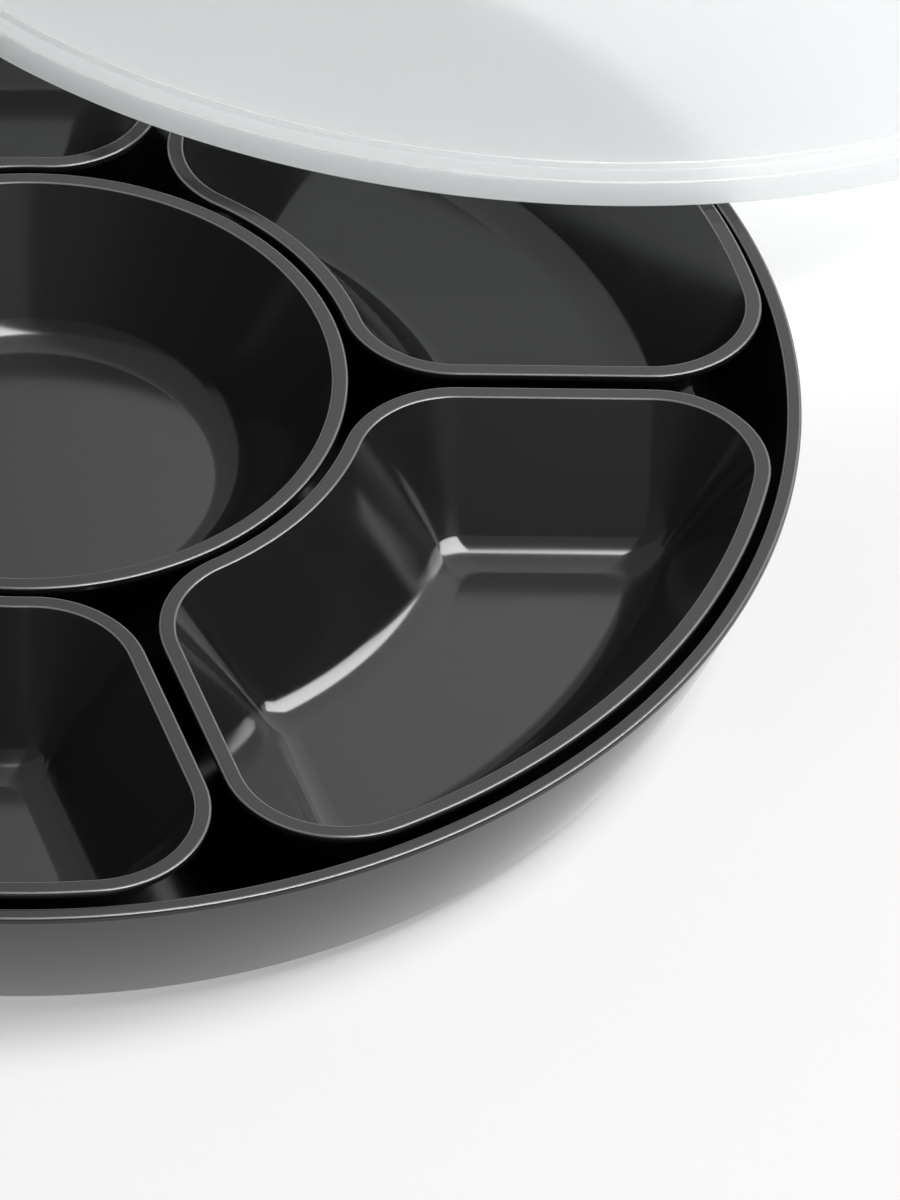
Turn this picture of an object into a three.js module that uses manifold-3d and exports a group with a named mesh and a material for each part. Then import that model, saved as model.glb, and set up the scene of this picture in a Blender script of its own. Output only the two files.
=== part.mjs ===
// Round rotating serving tray: a shallow dish on a ball-race turntable, with one round bowl in the
// middle, five sector bowls around it, and a stepped cover that leans on the bowls' rims.
// Millimetres, +Z up. The origin is on the spin axis, at the flat underside of the turntable base.

import * as THREE from "three";
import * as BufferGeometryUtils from "three/addons/utils/BufferGeometryUtils.js";
import Module from "manifold-3d";

const wasm = await Module();
wasm.setup();

// Clearances.
const SEAT_GAP = 0.3; // between pieces that rest on each other
const RUN_GAP = 0.3; // between pieces that turn past each other
const BALL_GAP = 0.2; // between a ball and its groove
const CUT_OVERRUN = 1.5; // how far a cutting shape runs past the face it opens

// Tray.
const TRAY_RADIUS = 170; // outer edge of the rim
const TRAY_HEIGHT = 37.9; // bottom edge to rim top
const TRAY_WALL_LEAN = 15.3; // how far the wall leans in from the lip to its bottom edge
const TRAY_LIFT = 4.4; // bottom edge above the base's underside
const TRAY_RIM_WIDTH = 3.3; // flat band on top of the rim
const TRAY_RIM_ROUND = 0.7; // rounding of the band's two edges
const TRAY_LIP_HEIGHT = 1.8; // height of the lip that the rim forms outside
const TRAY_LIP_STEP = 0.9; // how far the wall stands back under the lip
const TRAY_WALL = 2.5; // wall thickness
const TRAY_WALL_BULGE = 1.1; // how far the wall swells out between its ends
const TRAY_FLOOR = 2.4; // floor thickness
const TRAY_FLOOR_FILLET = 4.5; // between the floor and the inside of the wall
const TRAY_EDGE_ROUND = 0.8; // rounding of the bottom edge

// Bowls.
const BOWL_COUNT = 5; // sector bowls round the middle one
const BOWL_TURN_DEG = -37.5; // direction of the first sector bowl's middle
const BOWL_PROUD = 2.5; // how far the bowls' rims stand above the tray's rim
const BOWL_DEPTH = 28.9; // rim top to the inside floor
const BOWL_FLOOR = 2; // floor thickness
const BOWL_FOOT = 0.8; // height of the ring that a bowl stands on
const BOWL_FOOT_WIDTH = 1.6; // width of that ring
const BOWL_RIM_WIDTH = 3.5; // flat band on top of the rim
const BOWL_RIM_ROUND = 0.65; // rounding of the band's two edges
const BOWL_LIP_HEIGHT = 1.8; // height of the lip outside
const BOWL_LIP_STEP = 0.8; // how far the wall stands back under the lip
const BOWL_WALL_RUN = 20.65; // how far the inside wall leans in from the rim down to the floor
const BOWL_FLOOR_FILLET = 9.5; // radius between the inside wall and the floor
const BOWL_SKIN = 2.4; // wall thickness, measured level
const BOWL_HEEL = 1.5; // rise of the chamfer between foot and wall

const CENTRE_BOWL_RADIUS = 70.5; // outer edge of the round bowl's rim
const BOWL_RING_GAP = 2.1; // round bowl to sector bowls
const BOWL_RIM_GAP = 1.7; // sector bowls to the tray's rim
const BOWL_SIDE_GAP = 4; // between neighbouring sector bowls
const SECTOR_CORNER = 25.5; // corner radius of a sector bowl's rim
const SECTOR_CORNER_SHARE = 0.0875; // its least corner radius, as a share of the floor's width

// Cover.
const COVER_RADIUS = 177.65; // skirt's lower edge
const COVER_HEIGHT = 8.4; // lower edge to the top panel's face
const COVER_PANEL = 1.8; // panel thickness
const COVER_WALL = 1.7; // skirt and shoulder thickness
const COVER_SKIRT = 6; // height of the skirt
const COVER_SKIRT_DRAFT = 0.7; // how far the skirt leans in
const COVER_SHOULDER = 4.1; // width of the shoulder between skirt and panel
const COVER_SHOULDER_RISE = 0.7; // how much the shoulder climbs
const COVER_ROUND = 0.6; // rounding of the shoulder's and panel's edges
const COVER_EDGE_ROUND = 0.35; // rounding of the lower edge
const COVER_OFFSET = 258.9; // from the spin axis to the cover's middle, seen from above
const COVER_TURN_DEG = 62.75; // direction in which the cover lies and slopes down

// Turntable base.
const BASE_RADIUS = 100;
const BASE_PLATE = 2.4; // plate thickness
const BASE_EDGE_HEIGHT = 4.2; // stiffening edge round the plate
const BASE_EDGE_WIDTH = 2.6;
const BASE_ROUND = 0.6; // rounding of the base's outer edges
const FOOT_PROUD = 1; // how far the rubber feet stand below the base
const FOOT_COUNT = 6;
const FOOT_RADIUS = 6;
const FOOT_INSET = 13; // from the base's edge to the circle that the feet stand on
const FOOT_POCKET = 1.2; // depth of the pocket that takes a foot
const FOOT_CHAMFER = 0.6;
const RIB_COUNT = 8; // ribs from the hub to the race
const RIB_WIDTH = 1.8;
const RIB_HEIGHT = 1.4;

// Ball race.
const BALL_COUNT = 12;
const BALL_RADIUS = 2.5;
const RACE_INSET = 14; // from the base's edge to the circle that the balls run on
const RACE_WIDTH = 12; // width of the raised band that holds a groove
const GROOVE_DEPTH = 1;
const GROOVE_RADIUS = 3.25; // of the groove's section, wider than a ball's
const TRAY_RACE_DROP = 1.6; // how far the tray's race stands down from its floor
const CAGE_WIDTH = 10;
const CAGE_THICKNESS = 2;

// Pivot.
const HUB_RADIUS = 9; // post of the base that the tray turns on
const WELL_RADIUS = 15; // sunk seat in the tray's floor for the washer
const WELL_DEPTH = 3.4;
const WELL_FLOOR = 2;
const WASHER_RADIUS = 12;
const WASHER_THICKNESS = 1;
const SCREW_RADIUS = 1.8; // shank
const SCREW_LENGTH = 7; // shank, under the head
const SCREW_HEAD_RADIUS = 4;
const SCREW_HEAD_HEIGHT = 1.4;
const SCREW_CROWN_SHARE = 0.7; // flat top of the head, as a share of its radius
const SCREW_TIP = 0.6; // chamfer at the shank's end
const SCREW_HOLE_END = 1; // depth left under the screw's tip

// Facets.
const TRAY_FACETS = 56;
const COVER_FACETS = 56;
const CENTRE_FACETS = 42;
const BASE_FACETS = 40;
const SMALL_FACETS = 12;
const CAGE_FACETS = 36;
const GROOVE_FACETS = 4;
const BALL_AROUND = 8;
const BALL_DOWN = 5;
const OUTER_ARC_FACETS = 9;
const INNER_ARC_FACETS = 4;
const CORNER_FACETS = 4;
const WALL_STEPS = 3;
const FILLET_STEPS = 3;
const BOWL_FILLET_STEPS = 3;

// Heights that follow from the sizes above.
const TABLE_Z = -FOOT_PROUD;
const TRAY_TOP = TRAY_LIFT + TRAY_HEIGHT;
const BOWL_TOP = TRAY_TOP + BOWL_PROUD;
const BOWL_HEIGHT = BOWL_DEPTH + BOWL_FLOOR + BOWL_FOOT;
const BOWL_Z = BOWL_TOP - BOWL_HEIGHT;
const FLOOR_TOP = BOWL_Z - SEAT_GAP;
const FLOOR_UNDER = FLOOR_TOP - TRAY_FLOOR;
const WELL_TOP = FLOOR_TOP - WELL_DEPTH;
const WELL_UNDER = WELL_TOP - WELL_FLOOR;
const TRAY_RACE_Z = FLOOR_UNDER - TRAY_RACE_DROP;
const BALL_Z = TRAY_RACE_Z + GROOVE_DEPTH - BALL_GAP - BALL_RADIUS;
const BASE_RACE_Z = BALL_Z - BALL_RADIUS - BALL_GAP + GROOVE_DEPTH;
const CAGE_Z = (BASE_RACE_Z + TRAY_RACE_Z - CAGE_THICKNESS) / 2;
const WASHER_Z = WELL_TOP + RUN_GAP;
const HUB_TOP = WASHER_Z - SEAT_GAP;
const SCREW_HEAD_Z = WASHER_Z + WASHER_THICKNESS + SEAT_GAP;
const SCREW_TIP_Z = SCREW_HEAD_Z - SCREW_LENGTH;
const SECTOR_INNER = CENTRE_BOWL_RADIUS + BOWL_RING_GAP;
const SECTOR_OUTER = TRAY_RADIUS - TRAY_RIM_WIDTH - BOWL_RIM_GAP;
const SECTOR_HALF_ANGLE = Math.PI / BOWL_COUNT;
const BOWL_WALL_TURN = Math.atan2(BOWL_DEPTH, BOWL_WALL_RUN);
const BOWL_FILLET_RUN = BOWL_FLOOR_FILLET * Math.tan(BOWL_WALL_TURN / 2);
const BOWL_FLOOR_EDGE = BOWL_RIM_WIDTH + BOWL_WALL_RUN + BOWL_FILLET_RUN;
const SECTOR_FLOOR_WIDTH = SECTOR_OUTER - SECTOR_INNER - 2 * BOWL_FLOOR_EDGE;
const SECTOR_CORNER_LEAST = SECTOR_CORNER_SHARE * SECTOR_FLOOR_WIDTH;
const TRAY_FOOT_RADIUS = TRAY_RADIUS - TRAY_LIP_STEP - TRAY_WALL_LEAN;
const FOOT_CIRCLE = BASE_RADIUS - FOOT_INSET;
const RACE_CIRCLE = BASE_RADIUS - RACE_INSET;

const radians = (degrees) => (degrees * Math.PI) / 180;

// Materials.
function plastic(color, roughness) {
  return new THREE.MeshStandardMaterial({ color, roughness, metalness: 0 });
}
const DARK_GLOSS = plastic(0x3a3b3d, 0.28);
const DARK_SATIN = plastic(0x2b2c2e, 0.5);
const NATURAL_NYLON = plastic(0xd9d6cc, 0.55);
const BLACK_RUBBER = plastic(0x161617, 0.9);
const FROSTED = new THREE.MeshStandardMaterial({
  color: 0xdfe5ea,
  roughness: 0.45,
  metalness: 0,
  transparent: true,
  opacity: 0.7,
});
const STEEL = new THREE.MeshStandardMaterial({ color: 0xc9cbcf, roughness: 0.15, metalness: 1 });

// Helpers.
// A revolved solid from [radius, height] points that start and end on the axis, or close on themselves.
function revolve(points, facets) {
  const profile = points.map(([r, z]) => new THREE.Vector2(r, z));
  const geometry = new THREE.LatheGeometry(profile, facets);
  geometry.rotateX(Math.PI / 2);
  return geometry;
}

// A ring: the profile closes on its first point.
function revolveRing(points, facets) {
  return revolve([...points, points[0]], facets);
}

function circlePoints(radius, count, x = 0, y = 0) {
  const points = [];
  for (let i = 0; i < count; i += 1) {
    const a = (2 * Math.PI * i) / count;
    points.push(new THREE.Vector2(x + radius * Math.cos(a), y + radius * Math.sin(a)));
  }
  return points;
}

function toManifold(geometry) {
  const bare = geometry.clone();
  bare.deleteAttribute("normal");
  bare.deleteAttribute("uv");
  const merged = BufferGeometryUtils.mergeVertices(bare);
  return new wasm.Manifold(
    new wasm.Mesh({
      numProp: 3,
      vertProperties: new Float32Array(merged.attributes.position.array),
      triVerts: new Uint32Array(merged.index.array),
    }),
  );
}

function fromManifold(solid) {
  const mesh = solid.getMesh();
  const geometry = new THREE.BufferGeometry();
  geometry.setAttribute("position", new THREE.BufferAttribute(mesh.vertProperties, 3));
  geometry.setIndex(new THREE.BufferAttribute(mesh.triVerts, 1));
  const flat = geometry.toNonIndexed();
  flat.computeVertexNormals();
  return flat;
}

function piece(name, geometry, material) {
  const mesh = new THREE.Mesh(geometry, material);
  mesh.name = name;
  return mesh;
}

// Ball grooves.
// Points across a groove, from its inner edge to its outer one. side is -1 for a groove that opens
// upwards, under the balls, and 1 for one that opens downwards, over them.
function groove(side) {
  const half = Math.acos((GROOVE_RADIUS - GROOVE_DEPTH) / GROOVE_RADIUS);
  const middle = BALL_Z + side * (BALL_RADIUS + BALL_GAP - GROOVE_RADIUS);
  const points = [];
  for (let i = 0; i <= GROOVE_FACETS; i += 1) {
    const a = -half + (2 * half * i) / GROOVE_FACETS;
    const across = GROOVE_RADIUS * Math.sin(a);
    points.push([RACE_CIRCLE + across, middle + side * GROOVE_RADIUS * Math.cos(a)]);
  }
  return points;
}

// Tray.
// The wall runs straight from its bottom edge to the lip, and swells out by a parabola between them.
function trayWallRadius(z) {
  const top = TRAY_RADIUS - TRAY_LIP_STEP;
  const share = (z - TRAY_LIFT) / (TRAY_HEIGHT - TRAY_LIP_HEIGHT);
  const straight = TRAY_FOOT_RADIUS + (top - TRAY_FOOT_RADIUS) * share;
  return straight + TRAY_WALL_BULGE * 4 * share * (1 - share);
}

function trayGeometry() {
  const inner = (z) => trayWallRadius(z) - TRAY_WALL;
  const lipUnder = TRAY_TOP - TRAY_LIP_HEIGHT;
  const raceIn = RACE_CIRCLE - RACE_WIDTH / 2;
  const raceOut = RACE_CIRCLE + RACE_WIDTH / 2;
  const points = [
    [HUB_RADIUS + RUN_GAP, WELL_UNDER],
    [WELL_RADIUS + TRAY_FLOOR, WELL_UNDER],
    [WELL_RADIUS + TRAY_FLOOR, FLOOR_UNDER],
    [raceIn, FLOOR_UNDER],
    [raceIn, TRAY_RACE_Z],
    ...groove(1),
    [raceOut, TRAY_RACE_Z],
    [raceOut, FLOOR_UNDER],
    [inner(FLOOR_UNDER) - TRAY_FLOOR, FLOOR_UNDER],
    [inner(FLOOR_UNDER - TRAY_FLOOR), FLOOR_UNDER - TRAY_FLOOR],
    [inner(TRAY_LIFT), TRAY_LIFT],
    [TRAY_FOOT_RADIUS - TRAY_EDGE_ROUND, TRAY_LIFT],
    [trayWallRadius(TRAY_LIFT + TRAY_EDGE_ROUND), TRAY_LIFT + TRAY_EDGE_ROUND],
  ];
  for (let i = 1; i <= WALL_STEPS; i += 1) {
    const from = TRAY_LIFT + TRAY_EDGE_ROUND;
    const z = from + ((lipUnder - from) * i) / WALL_STEPS;
    points.push([trayWallRadius(z), z]);
  }
  points.push([TRAY_RADIUS - TRAY_RIM_ROUND / 2, lipUnder + TRAY_RIM_ROUND / 2]);
  points.push([TRAY_RADIUS, lipUnder + TRAY_RIM_ROUND]);
  points.push([TRAY_RADIUS, TRAY_TOP - TRAY_RIM_ROUND]);
  points.push([TRAY_RADIUS - TRAY_RIM_ROUND, TRAY_TOP]);
  points.push([TRAY_RADIUS - TRAY_RIM_WIDTH + TRAY_RIM_ROUND, TRAY_TOP]);
  points.push([TRAY_RADIUS - TRAY_RIM_WIDTH, TRAY_TOP - TRAY_RIM_ROUND]);
  points.push([inner(lipUnder), lipUnder]);
  const filletZ = FLOOR_TOP + TRAY_FLOOR_FILLET;
  points.push([inner((lipUnder + filletZ) / 2), (lipUnder + filletZ) / 2]);
  for (let i = 0; i <= FILLET_STEPS; i += 1) {
    const a = ((Math.PI / 2) * i) / FILLET_STEPS;
    const run = TRAY_FLOOR_FILLET * (1 - Math.cos(a));
    points.push([inner(filletZ) - run, filletZ - TRAY_FLOOR_FILLET * Math.sin(a)]);
  }
  points.push([WELL_RADIUS, FLOOR_TOP]);
  points.push([WELL_RADIUS, WELL_TOP]);
  points.push([HUB_RADIUS + RUN_GAP, WELL_TOP]);
  return revolveRing(points, TRAY_FACETS);
}

// Bowls.
// The section of every bowl, as [inset from the rim's outer edge, height above its foot], from the
// middle of the underside, round the rim, to the middle of the floor.
function bowlSection() {
  const floor = BOWL_FOOT + BOWL_FLOOR;
  const lean = BOWL_WALL_RUN / BOWL_DEPTH;
  const heelTop = BOWL_FOOT + BOWL_HEEL;
  const heel = BOWL_RIM_WIDTH + (BOWL_HEIGHT - heelTop) * lean - BOWL_SKIN;
  const footOut = heel + BOWL_HEEL;
  const lipUnder = BOWL_HEIGHT - BOWL_LIP_HEIGHT;
  const fillet = [];
  for (let i = 0; i <= BOWL_FILLET_STEPS; i += 1) {
    const a = BOWL_WALL_TURN * (1 - i / BOWL_FILLET_STEPS);
    const rise = BOWL_FLOOR_FILLET * (1 - Math.cos(a));
    fillet.push([BOWL_FLOOR_EDGE - BOWL_FLOOR_FILLET * Math.sin(a), floor + rise]);
  }
  return [
    [footOut + BOWL_FOOT_WIDTH + BOWL_FOOT, BOWL_FOOT],
    [footOut + BOWL_FOOT_WIDTH, 0],
    [footOut, 0],
    [heel, heelTop],
    [BOWL_LIP_STEP, lipUnder - BOWL_RIM_ROUND],
    [BOWL_RIM_ROUND / 2, lipUnder],
    [0, lipUnder + BOWL_RIM_ROUND],
    [0, BOWL_HEIGHT - BOWL_RIM_ROUND],
    [BOWL_RIM_ROUND, BOWL_HEIGHT],
    [BOWL_RIM_WIDTH - BOWL_RIM_ROUND, BOWL_HEIGHT],
    [BOWL_RIM_WIDTH + BOWL_RIM_ROUND * lean, BOWL_HEIGHT - BOWL_RIM_ROUND],
    ...fillet,
  ];
}

// The outline of a sector bowl, shrunk by inset: two arcs about the spin axis and two straight sides,
// joined by four rounded corners. It runs anticlockwise, with the same number of points at any inset.
function sectorOutline(inset) {
  const corner = Math.max(SECTOR_CORNER - inset, SECTOR_CORNER_LEAST);
  const outer = SECTOR_OUTER - inset;
  const inner = SECTOR_INNER + inset;
  const aside = BOWL_SIDE_GAP / 2 + inset + corner;
  const sideTurn = SECTOR_HALF_ANGLE;
  const centreAt = (distance) => {
    const along = Math.sqrt(distance * distance - aside * aside);
    return [
      along * Math.cos(sideTurn) + aside * Math.sin(sideTurn),
      along * Math.sin(sideTurn) - aside * Math.cos(sideTurn),
    ];
  };
  const [ox, oy] = centreAt(outer - corner);
  const [ix, iy] = centreAt(inner + corner);
  const outerTurn = Math.atan2(oy, ox);
  const innerTurn = Math.atan2(iy, ix);
  const sideNormal = sideTurn + Math.PI / 2;
  const points = [];
  const arc = (x, y, radius, from, to, steps, first) => {
    for (let i = first; i <= steps; i += 1) {
      const a = from + ((to - from) * i) / steps;
      points.push([x + radius * Math.cos(a), y + radius * Math.sin(a)]);
    }
  };
  arc(0, 0, outer, -outerTurn, outerTurn, OUTER_ARC_FACETS, 0);
  arc(ox, oy, corner, outerTurn, sideNormal, CORNER_FACETS, 1);
  arc(ix, iy, corner, sideNormal, innerTurn + Math.PI, CORNER_FACETS, 0);
  arc(0, 0, inner, innerTurn, -innerTurn, INNER_ARC_FACETS, 1);
  arc(ix, -iy, corner, Math.PI - innerTurn, 2 * Math.PI - sideNormal, CORNER_FACETS, 1);
  arc(ox, -oy, corner, -sideNormal, -outerTurn, CORNER_FACETS, 0);
  points.pop();
  return points;
}

// A solid through a stack of outlines that all have the same number of points.
function loft(rings) {
  const count = rings[0].length;
  const position = rings.flat(2);
  const index = [];
  for (let k = 0; k + 1 < rings.length; k += 1) {
    for (let i = 0; i < count; i += 1) {
      const j = (i + 1) % count;
      const a = k * count + i;
      const b = k * count + j;
      index.push(a, b, a + count, b, b + count, a + count);
    }
  }
  const cap = (k, up) => {
    const contour = rings[k].map(([x, y]) => new THREE.Vector2(x, y));
    for (const [a, b, c] of THREE.ShapeUtils.triangulateShape(contour, [])) {
      const base = k * count;
      if (up) index.push(base + a, base + b, base + c);
      else index.push(base + a, base + c, base + b);
    }
  };
  cap(0, false);
  cap(rings.length - 1, true);
  const geometry = new THREE.BufferGeometry();
  geometry.setAttribute("position", new THREE.Float32BufferAttribute(position, 3));
  geometry.setIndex(index);
  const flat = geometry.toNonIndexed();
  flat.computeVertexNormals();
  return flat;
}

function sectorBowlGeometry() {
  return loft(bowlSection().map(([inset, z]) => sectorOutline(inset).map(([x, y]) => [x, y, z])));
}

function centreBowlGeometry() {
  const section = bowlSection();
  const points = section.map(([inset, z]) => [CENTRE_BOWL_RADIUS - inset, z]);
  const first = section[0];
  const last = section[section.length - 1];
  return revolve([[0, first[1]], ...points, [0, last[1]]], CENTRE_FACETS);
}

// Cover.
// Drawn with its lower edge at height 0.
function coverGeometry() {
  const skirtTop = COVER_RADIUS - COVER_SKIRT_DRAFT;
  const shoulderTop = COVER_SKIRT + COVER_SHOULDER_RISE;
  const panelEdge = skirtTop - COVER_SHOULDER;
  const under = COVER_HEIGHT - COVER_PANEL;
  return revolve(
    [
      [0, under],
      [panelEdge - COVER_WALL, under],
      [panelEdge - COVER_WALL, shoulderTop - COVER_WALL + COVER_ROUND / 2],
      [skirtTop - COVER_WALL, COVER_SKIRT - COVER_WALL],
      [COVER_RADIUS - COVER_WALL, 0],
      [COVER_RADIUS - COVER_EDGE_ROUND, 0],
      [COVER_RADIUS, COVER_EDGE_ROUND],
      [skirtTop, COVER_SKIRT - COVER_ROUND],
      [skirtTop - COVER_ROUND, COVER_SKIRT],
      [panelEdge, shoulderTop],
      [panelEdge - COVER_ROUND / 2, COVER_HEIGHT - COVER_ROUND],
      [panelEdge - COVER_ROUND - COVER_ROUND / 2, COVER_HEIGHT],
      [0, COVER_HEIGHT],
    ],
    COVER_FACETS,
  );
}

// The slope of the cover where its far edge lies on the table and its lower edge crosses the circle
// of the sector bowls' rims at the height of those rims. Halving finds it.
function coverSlope() {
  const edgeRadius = COVER_RADIUS - COVER_WALL;
  const misfit = (slope) => {
    const s = Math.sin(slope);
    const c = Math.cos(slope);
    const middle = TABLE_Z + SEAT_GAP + COVER_RADIUS * s;
    const k = COVER_OFFSET * COVER_OFFSET + edgeRadius * edgeRadius - SECTOR_OUTER * SECTOR_OUTER;
    const reach = COVER_OFFSET * c;
    const back = k / (reach + Math.sqrt(reach * reach + s * s * k));
    return middle + back * s - (BOWL_TOP + SEAT_GAP);
  };
  let low = 0;
  let high = Math.PI / 4;
  for (let i = 0; i < 50; i += 1) {
    const mid = (low + high) / 2;
    if (misfit(mid) < 0) low = mid;
    else high = mid;
  }
  return high;
}

// Turntable base.
function baseGeometry() {
  const raceIn = RACE_CIRCLE - RACE_WIDTH / 2;
  const raceOut = RACE_CIRCLE + RACE_WIDTH / 2;
  const edgeIn = BASE_RADIUS - BASE_EDGE_WIDTH;
  const holeRadius = SCREW_RADIUS + SEAT_GAP;
  let solid = toManifold(
    revolve(
      [
        [0, 0],
        [BASE_RADIUS - BASE_ROUND, 0],
        [BASE_RADIUS, BASE_ROUND],
        [BASE_RADIUS, BASE_EDGE_HEIGHT - BASE_ROUND],
        [BASE_RADIUS - BASE_ROUND, BASE_EDGE_HEIGHT],
        [edgeIn, BASE_EDGE_HEIGHT],
        [edgeIn, BASE_PLATE],
        [raceOut, BASE_PLATE],
        [raceOut, BASE_RACE_Z],
        ...groove(-1).reverse(),
        [raceIn, BASE_RACE_Z],
        [raceIn, BASE_PLATE],
        [HUB_RADIUS, BASE_PLATE],
        [HUB_RADIUS, HUB_TOP],
        [holeRadius, HUB_TOP],
        [holeRadius, SCREW_TIP_Z - SCREW_HOLE_END],
        [0, SCREW_TIP_Z - SCREW_HOLE_END],
      ],
      BASE_FACETS,
    ),
  );
  const ribStart = HUB_RADIUS - CUT_OVERRUN;
  const ribLength = raceIn + CUT_OVERRUN - ribStart;
  for (let i = 0; i < RIB_COUNT; i += 1) {
    const rib = new THREE.BoxGeometry(ribLength, RIB_WIDTH, RIB_HEIGHT + CUT_OVERRUN);
    rib.translate(ribStart + ribLength / 2, 0, BASE_PLATE + (RIB_HEIGHT - CUT_OVERRUN) / 2);
    rib.rotateZ((2 * Math.PI * i) / RIB_COUNT);
    solid = solid.add(toManifold(rib));
  }
  for (let i = 0; i < FOOT_COUNT; i += 1) {
    const a = (2 * Math.PI * i) / FOOT_COUNT;
    const depth = FOOT_POCKET + CUT_OVERRUN;
    const pocket = new THREE.CylinderGeometry(
      FOOT_RADIUS + SEAT_GAP,
      FOOT_RADIUS + SEAT_GAP,
      depth,
      SMALL_FACETS,
    );
    pocket.rotateX(Math.PI / 2);
    pocket.translate(0, 0, FOOT_POCKET - depth / 2);
    pocket.translate(FOOT_CIRCLE * Math.cos(a), FOOT_CIRCLE * Math.sin(a), 0);
    solid = solid.subtract(toManifold(pocket));
  }
  return fromManifold(solid);
}

function footGeometry() {
  return revolve(
    [
      [0, -FOOT_PROUD],
      [FOOT_RADIUS - FOOT_CHAMFER, -FOOT_PROUD],
      [FOOT_RADIUS, -FOOT_PROUD + FOOT_CHAMFER],
      [FOOT_RADIUS, FOOT_POCKET - SEAT_GAP],
      [0, FOOT_POCKET - SEAT_GAP],
    ],
    SMALL_FACETS,
  );
}

// Ball ring.
function cageGeometry() {
  const ring = new THREE.Shape(circlePoints(RACE_CIRCLE + CAGE_WIDTH / 2, CAGE_FACETS));
  ring.holes.push(new THREE.Path(circlePoints(RACE_CIRCLE - CAGE_WIDTH / 2, CAGE_FACETS)));
  for (let i = 0; i < BALL_COUNT; i += 1) {
    const a = (2 * Math.PI * i) / BALL_COUNT;
    const x = RACE_CIRCLE * Math.cos(a);
    const y = RACE_CIRCLE * Math.sin(a);
    ring.holes.push(new THREE.Path(circlePoints(BALL_RADIUS + BALL_GAP, BALL_AROUND, x, y)));
  }
  return new THREE.ExtrudeGeometry(ring, {
    depth: CAGE_THICKNESS,
    bevelEnabled: false,
    curveSegments: BALL_AROUND,
  });
}

// Pivot.
function washerGeometry() {
  return revolveRing(
    [
      [SCREW_RADIUS + SEAT_GAP, 0],
      [WASHER_RADIUS, 0],
      [WASHER_RADIUS, WASHER_THICKNESS],
      [SCREW_RADIUS + SEAT_GAP, WASHER_THICKNESS],
    ],
    SMALL_FACETS * 2,
  );
}

// Drawn with the underside of its head at height 0.
function screwGeometry() {
  return revolve(
    [
      [0, -SCREW_LENGTH],
      [SCREW_RADIUS - SCREW_TIP, -SCREW_LENGTH],
      [SCREW_RADIUS, -SCREW_LENGTH + SCREW_TIP],
      [SCREW_RADIUS, 0],
      [SCREW_HEAD_RADIUS, 0],
      [SCREW_HEAD_RADIUS, SCREW_HEAD_HEIGHT / 2],
      [SCREW_HEAD_RADIUS * SCREW_CROWN_SHARE, SCREW_HEAD_HEIGHT],
      [0, SCREW_HEAD_HEIGHT],
    ],
    SMALL_FACETS,
  );
}

// Assembly.
const part = new THREE.Group();

part.add(piece("base_plate", baseGeometry(), DARK_SATIN));
for (let i = 0; i < FOOT_COUNT; i += 1) {
  const a = (2 * Math.PI * i) / FOOT_COUNT;
  const foot = piece(`rubber_foot_${i + 1}`, footGeometry(), BLACK_RUBBER);
  foot.position.set(FOOT_CIRCLE * Math.cos(a), FOOT_CIRCLE * Math.sin(a), 0);
  part.add(foot);
}

const washer = piece("retaining_washer", washerGeometry(), STEEL);
washer.position.z = WASHER_Z;
part.add(washer);

const screw = piece("pivot_screw", screwGeometry(), STEEL);
screw.position.z = SCREW_HEAD_Z;
part.add(screw);

const cage = piece("ball_cage", cageGeometry(), NATURAL_NYLON);
cage.position.z = CAGE_Z;
part.add(cage);
for (let i = 0; i < BALL_COUNT; i += 1) {
  const a = (2 * Math.PI * i) / BALL_COUNT;
  const geometry = new THREE.SphereGeometry(BALL_RADIUS, BALL_AROUND, BALL_DOWN);
  geometry.rotateX(Math.PI / 2);
  const ball = piece(`race_ball_${i + 1}`, geometry, STEEL);
  ball.position.set(RACE_CIRCLE * Math.cos(a), RACE_CIRCLE * Math.sin(a), BALL_Z);
  part.add(ball);
}

part.add(piece("tray", trayGeometry(), DARK_GLOSS));

const centreBowl = piece("centre_bowl", centreBowlGeometry(), DARK_GLOSS);
centreBowl.position.z = BOWL_Z;
part.add(centreBowl);
for (let i = 0; i < BOWL_COUNT; i += 1) {
  const bowl = piece(`sector_bowl_${i + 1}`, sectorBowlGeometry(), DARK_GLOSS);
  bowl.rotation.z = radians(BOWL_TURN_DEG) + (2 * Math.PI * i) / BOWL_COUNT;
  bowl.position.z = BOWL_Z;
  part.add(bowl);
}

// The cover lies off to one side: its far edge is on the table, and its skirt rests on the bowls.
const slope = coverSlope();
const leaning = new THREE.Group();
leaning.rotation.z = radians(COVER_TURN_DEG);
const cover = piece("cover", coverGeometry(), FROSTED);
cover.rotation.y = slope;
cover.position.set(COVER_OFFSET, 0, TABLE_Z + SEAT_GAP + COVER_RADIUS * Math.sin(slope));
leaning.add(cover);
part.add(leaning);

export default part;
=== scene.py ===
"""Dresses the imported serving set: a dark gloss tray on a ball-race turntable, a round bowl and five
sector bowls in it, and a frosted cover that leans on their rims. Metres, +Z up, the CAD's own frame."""

import math

import bpy
import numpy as np
from bpy.props import FloatProperty, FloatVectorProperty, IntProperty, PointerProperty
from bpy.types import Operator, Panel, PropertyGroup
from mathutils import Matrix, Vector


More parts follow.
